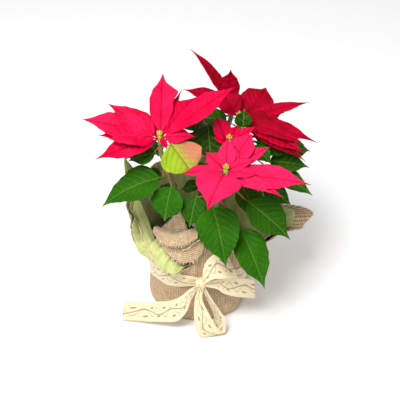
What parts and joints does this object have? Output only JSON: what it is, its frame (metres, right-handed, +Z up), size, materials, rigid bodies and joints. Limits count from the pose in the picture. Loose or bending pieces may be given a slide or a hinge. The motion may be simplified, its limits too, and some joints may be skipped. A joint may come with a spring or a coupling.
{
  "type": "poinsettia",
  "caption": "Poinsettia with red bracts and green leaves in its pot, dressed in hessian and green cloth and tied with a cream ribbon bow.",
  "frame": {"origin": "middle of the wrap's flat foot, on the ground under the pot's axis", "axes": "+Z up along the pot's axis, -Y towards the front with the bow, +X to the right as seen from the front"},
  "size_m": [0.3348, 0.3066, 0.3652],
  "materials": {
    "pot_plastic": "matt moulded nursery pot",
    "potting_soil": "dark moist peat and bark",
    "hessian": "coarse open jute weave",
    "lining": "thin matt lime cloth",
    "ribbon_satin": "smooth satin",
    "leaf_green": "satin leaf with pale veins",
    "bract_red": "velvety quilted bract",
    "flower_yellow": "waxy bud"
  },
  "bodies": {
    "root": {"pot": "pot_plastic", "soil": "potting_soil", "hessian_wrap": "hessian", "green_lining": "lining", "ribbon": "ribbon_satin", "left_leafy_stem": "leaf_green", "left_bloom": "bract_red", "left_flowers": "flower_yellow", "front_leafy_stem": "leaf_green", "front_bloom": "bract_red", "front_flowers": "flower_yellow", "middle_leafy_stem": "leaf_green", "middle_bloom": "bract_red", "middle_flowers": "flower_yellow", "right_leafy_stem": "leaf_green", "right_bloom": "bract_red", "right_flowers": "flower_yellow", "back_leafy_stem": "leaf_green", "back_bloom": "bract_red", "back_flowers": "flower_yellow"}
  },
  "joints": []
}
